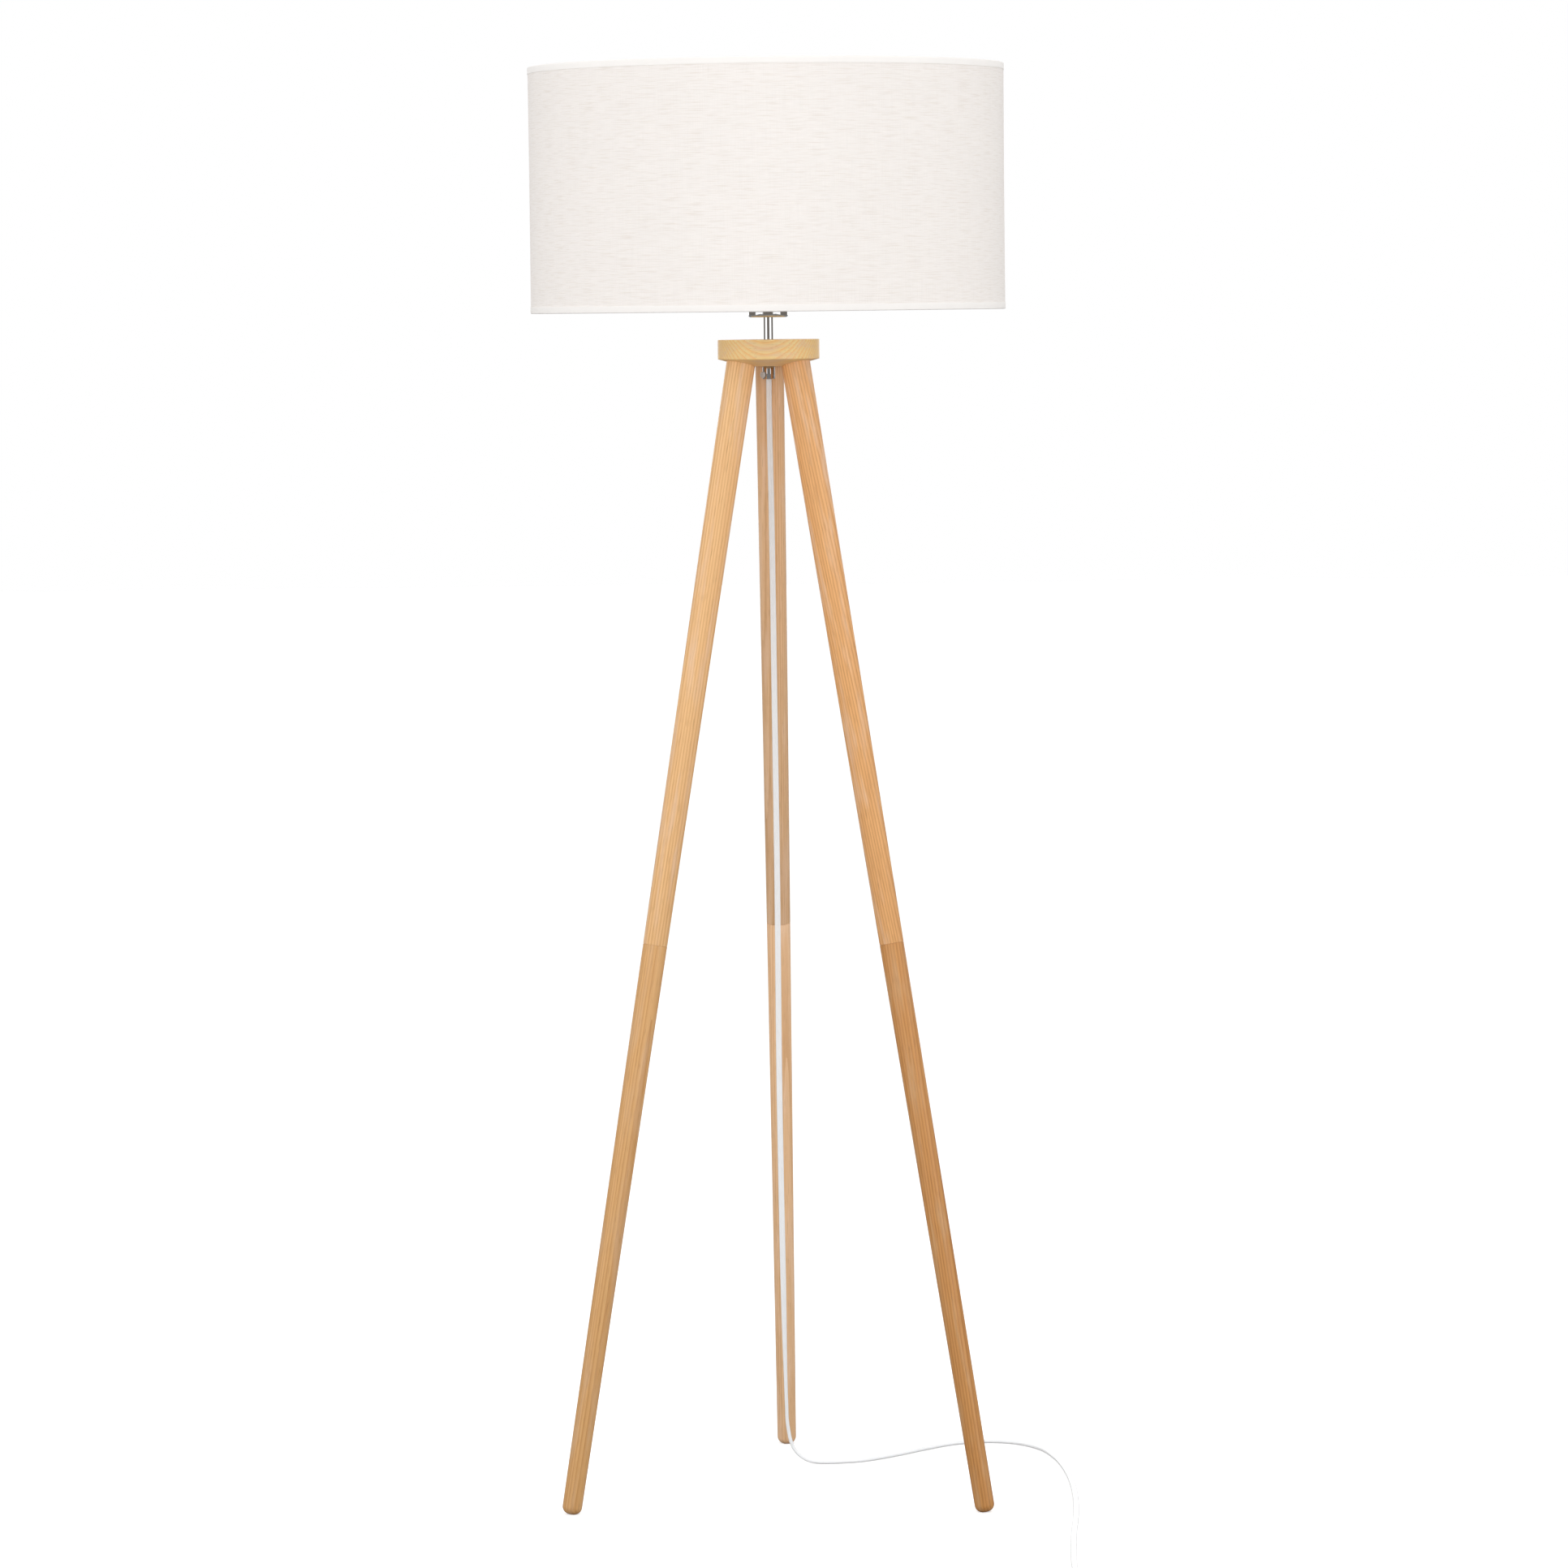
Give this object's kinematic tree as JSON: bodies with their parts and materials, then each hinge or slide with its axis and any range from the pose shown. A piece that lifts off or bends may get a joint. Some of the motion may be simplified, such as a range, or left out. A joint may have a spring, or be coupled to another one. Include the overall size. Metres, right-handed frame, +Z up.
{
  "type": "tripod floor lamp",
  "caption": "Tripod floor lamp: tapered oak legs screwed into a round hub, a fabric drum shade on a chrome stem, and a flat cord with a foot switch and a plug.",
  "frame": {"origin": "on the lamp's axis at floor level, under the middle of the hub and the shade", "axes": "+Z up the lamp's axis, +Y towards the rear leg, +X to the right as seen from the front"},
  "size_m": [0.5664, 0.8292, 1.514],
  "materials": {
    "oak": "oiled oak, satin",
    "oak_hub": "oiled oak, satin",
    "chrome": "polished chrome plate",
    "zinc_steel": "zinc-plated steel",
    "brass": "turned brass",
    "nickel": "nickel plate",
    "white_plastic": "moulded, satin white",
    "clear_plastic": "clear moulded plastic",
    "white_wire": "white enamelled wire",
    "shade_fabric": "off-white linen-look weave on a stiff backing",
    "hem_tape": "smooth ivory edge tape",
    "opal_globe": "opal, satin",
    "cord_pvc": "clear-white flexible sheath"
  },
  "bodies": {
    "stand": {"hub": "oak_hub", "leg_upper_rear": "oak", "leg_upper_left": "oak", "leg_upper_right": "oak", "leg_lower_rear": "oak", "leg_lower_left": "oak", "leg_lower_right": "oak", "joint_stud_rear": "zinc_steel", "joint_stud_left": "zinc_steel", "joint_stud_right": "zinc_steel", "joint_insert_rear": "brass", "joint_insert_left": "brass", "joint_insert_right": "brass", "hub_stud_rear": "zinc_steel", "hub_stud_left": "zinc_steel", "hub_stud_right": "zinc_steel", "hub_insert_rear": "brass", "hub_insert_left": "brass", "hub_insert_right": "brass", "centre_tube": "chrome", "tube_lock_nut": "zinc_steel", "cord_grip": "chrome", "lampholder_cup": "chrome", "cup_nut": "zinc_steel", "lampholder_cap": "white_plastic", "contact_block": "white_plastic", "centre_contact": "brass", "side_contact": "brass", "lampholder_shell": "white_plastic", "inner_lead": "cord_pvc", "cord_drop": "cord_pvc", "cord_floor": "cord_pvc", "cord_to_coil": "cord_pvc", "cord_coil": "cord_pvc", "cord_to_plug": "cord_pvc", "switch_base": "white_plastic", "switch_cover": "white_plastic", "switch_mechanism": "white_plastic", "switch_screw_in": "zinc_steel", "switch_screw_out": "zinc_steel", "plug_body": "white_plastic", "plug_pin_front": "nickel", "plug_pin_back": "nickel"},
    "grip_screw": {"cord_grip_screw": "clear_plastic"},
    "ring_nut": {"shade_ring_nut": "white_plastic"},
    "bulb": {"bulb_tip_contact": "nickel", "bulb_screw_cap": "nickel", "bulb_body": "white_plastic", "bulb_globe": "opal_globe"},
    "shade": {"shade_skin": "shade_fabric", "shade_hem_top": "hem_tape", "shade_hem_bottom": "hem_tape", "shade_ring_top": "white_wire", "shade_ring_bottom": "white_wire", "shade_spider": "white_wire"},
    "switch_button": {"switch_button": "white_plastic"}
  },
  "joints": [
    {"name": "shade_turn", "type": "hinge", "parent": "stand", "child": "shade", "pos_m": [0, 0, 1.27], "axis": [0, 0, 1], "continuous": true},
    {"name": "ring_nut_turn", "type": "hinge", "parent": "stand", "child": "ring_nut", "pos_m": [0, 0, 1.2735], "axis": [0, 0, 1], "range_deg": [0, 720]},
    {"name": "bulb_turn", "type": "hinge", "parent": "stand", "child": "bulb", "pos_m": [0, 0, 1.3], "axis": [0, 0, 1], "range_deg": [0, 1080]},
    {"name": "grip_screw_turn", "type": "hinge", "parent": "stand", "child": "grip_screw", "pos_m": [-0.0054, -0.0045, 1.1904], "axis": [-0.766, -0.6428, 0], "range_deg": [0, 720]},
    {"name": "switch_press", "type": "slide", "parent": "stand", "child": "switch_button", "axis": [0, 0, -1], "range_m": [0, 0.003], "stiffness_N_per_m": 1500, "springref_m": -0.002}
  ]
}
